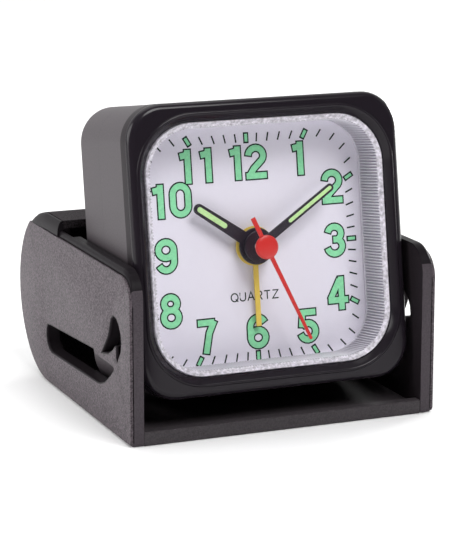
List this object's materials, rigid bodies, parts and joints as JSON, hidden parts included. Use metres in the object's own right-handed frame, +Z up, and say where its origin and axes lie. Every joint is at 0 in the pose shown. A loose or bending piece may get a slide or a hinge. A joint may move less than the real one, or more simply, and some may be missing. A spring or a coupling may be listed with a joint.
{
  "type": "folding travel alarm clock",
  "caption": "Square quartz alarm clock that stands up out of a half-open black travel case and folds face down into it, with hands, movement, controls and battery inside.",
  "frame": {"origin": "on the table under the middle of the case", "axes": "+X to the right facing the dial, +Y from the dial to the back, +Z up"},
  "size_m": [0.07, 0.075, 0.0693],
  "materials": {
    "case_black": "fine spark-textured black ABS with polished edges",
    "gloss_black": "polished black ABS",
    "shell_black": "satin black ABS",
    "clear": "clear polystyrene",
    "dial_white": "printed white dial",
    "steel": "plated steel",
    "cell": "printed cell jacket",
    "white_plastic": "moulded acetal",
    "board": "green laminate",
    "copper": "enamelled copper",
    "brass": "brass",
    "iron": "silicon iron lamination",
    "magnet": "bonded ferrite magnet",
    "hand_black": "black lacquer with a luminous stripe",
    "hand_red": "red lacquer",
    "hand_yellow": "yellow lacquer",
    "knob": "black knob plastic"
  },
  "bodies": {
    "case": {"case_left_cheek": "case_black", "case_right_cheek": "case_black", "case_base_plate": "gloss_black", "case_rear_cover": "case_black"},
    "pivot_slider": {"pivot_pin_left": "steel", "pivot_pin_right": "steel"},
    "clock": {"bezel": "gloss_black", "lens": "clear", "dial": "dial_white", "mid_case": "shell_black", "back_cover": "shell_black", "back_cover_screws": "steel", "battery_cell": "cell", "contact_spring": "steel", "contact_plate": "steel", "movement_front_plate": "white_plastic", "movement_rear_cover": "white_plastic", "movement_screws": "steel", "circuit_board": "board", "quartz_crystal": "steel", "driver_chip": "gloss_black", "coil_bobbin": "white_plastic", "coil_winding": "copper", "stator": "iron", "alarm_contact_spring": "copper", "buzzer": "brass"},
    "seconds": {"seconds_wheel": "white_plastic", "second_hand": "hand_red"},
    "rotor": {"rotor": "magnet"},
    "intermediate": {"intermediate_wheel": "white_plastic"},
    "third": {"third_wheel": "white_plastic"},
    "minutes": {"centre_wheel": "white_plastic", "minute_hand": "hand_black"},
    "works": {"minute_works_wheel": "white_plastic"},
    "hours": {"hour_wheel": "white_plastic", "hour_hand": "hand_black"},
    "alarm": {"alarm_wheel": "white_plastic", "alarm_hand": "hand_yellow"},
    "time_knob": {"time_set_knob": "knob"},
    "alarm_knob": {"alarm_set_knob": "knob"},
    "switch": {"alarm_switch": "knob"},
    "door": {"battery_door": "shell_black"}
  },
  "joints": [
    {"name": "carriage_slide", "type": "slide", "parent": "case", "child": "pivot_slider", "axis": [0, 0.9995, -0.0328], "range_m": [0, 0.04263]},
    {"name": "fold", "type": "hinge", "parent": "pivot_slider", "child": "clock", "pos_m": [0, -0.02571, 0.0138], "axis": [1, 0, 0], "range_deg": [0, 99]},
    {"name": "second_hand_spin", "type": "hinge", "parent": "clock", "child": "seconds", "pos_m": [0, -0.01062, 0.0349], "axis": [0, 0.9877, -0.1564], "continuous": true},
    {"name": "rotor_spin", "type": "hinge", "parent": "clock", "child": "rotor", "pos_m": [-0.01271, -0.01135, 0.03033], "axis": [0, 0.9877, -0.1564], "continuous": true},
    {"name": "intermediate_spin", "type": "hinge", "parent": "clock", "child": "intermediate", "pos_m": [-0.00648, -0.01099, 0.03257], "axis": [0, 0.9877, -0.1564], "continuous": true},
    {"name": "third_spin", "type": "hinge", "parent": "clock", "child": "third", "pos_m": [0.00709, -0.01082, 0.03366], "axis": [0, 0.9877, -0.1564], "continuous": true},
    {"name": "minute_hand_spin", "type": "hinge", "parent": "clock", "child": "minutes", "pos_m": [0, -0.01062, 0.0349], "axis": [0, 0.9877, -0.1564], "continuous": true},
    {"name": "minute_works_spin", "type": "hinge", "parent": "clock", "child": "works", "pos_m": [0.0032, -0.00975, 0.04037], "axis": [0, 0.9877, -0.1564], "continuous": true},
    {"name": "hour_hand_spin", "type": "hinge", "parent": "clock", "child": "hours", "pos_m": [0, -0.01062, 0.0349], "axis": [0, 0.9877, -0.1564], "continuous": true},
    {"name": "alarm_hand_spin", "type": "hinge", "parent": "clock", "child": "alarm", "pos_m": [0, -0.01062, 0.0349], "axis": [0, 0.9877, -0.1564], "continuous": true},
    {"name": "time_knob_spin", "type": "hinge", "parent": "clock", "child": "time_knob", "pos_m": [0.0066, -0.00883, 0.04619], "axis": [0, 0.9877, -0.1564], "continuous": true},
    {"name": "alarm_knob_spin", "type": "hinge", "parent": "clock", "child": "alarm_knob", "pos_m": [-0.0054, -0.00962, 0.04126], "axis": [0, 0.9877, -0.1564], "continuous": true},
    {"name": "alarm_switch_slide", "type": "slide", "parent": "clock", "child": "switch", "axis": [1, 0, 0], "range_m": [0, 0.0034]},
    {"name": "battery_door_lift", "type": "slide", "parent": "clock", "child": "door", "axis": [0, 0.9877, -0.1564], "range_m": [0, 0.0018]}
  ],
  "couplings": [
    {"joint": "carriage_slide", "follows": "fold", "m_per_rad": 0.024673},
    {"joint": "rotor_spin", "follows": "second_hand_spin", "ratio": 30},
    {"joint": "intermediate_spin", "follows": "second_hand_spin", "ratio": -4},
    {"joint": "third_spin", "follows": "second_hand_spin", "ratio": -0.13333},
    {"joint": "minute_hand_spin", "follows": "second_hand_spin", "ratio": 0.016667},
    {"joint": "minute_works_spin", "follows": "second_hand_spin", "ratio": -0.0055556},
    {"joint": "hour_hand_spin", "follows": "second_hand_spin", "ratio": 0.0013889},
    {"joint": "time_knob_spin", "follows": "second_hand_spin", "ratio": 0.013333},
    {"joint": "alarm_knob_spin", "follows": "alarm_hand_spin", "ratio": -1.3333}
  ]
}
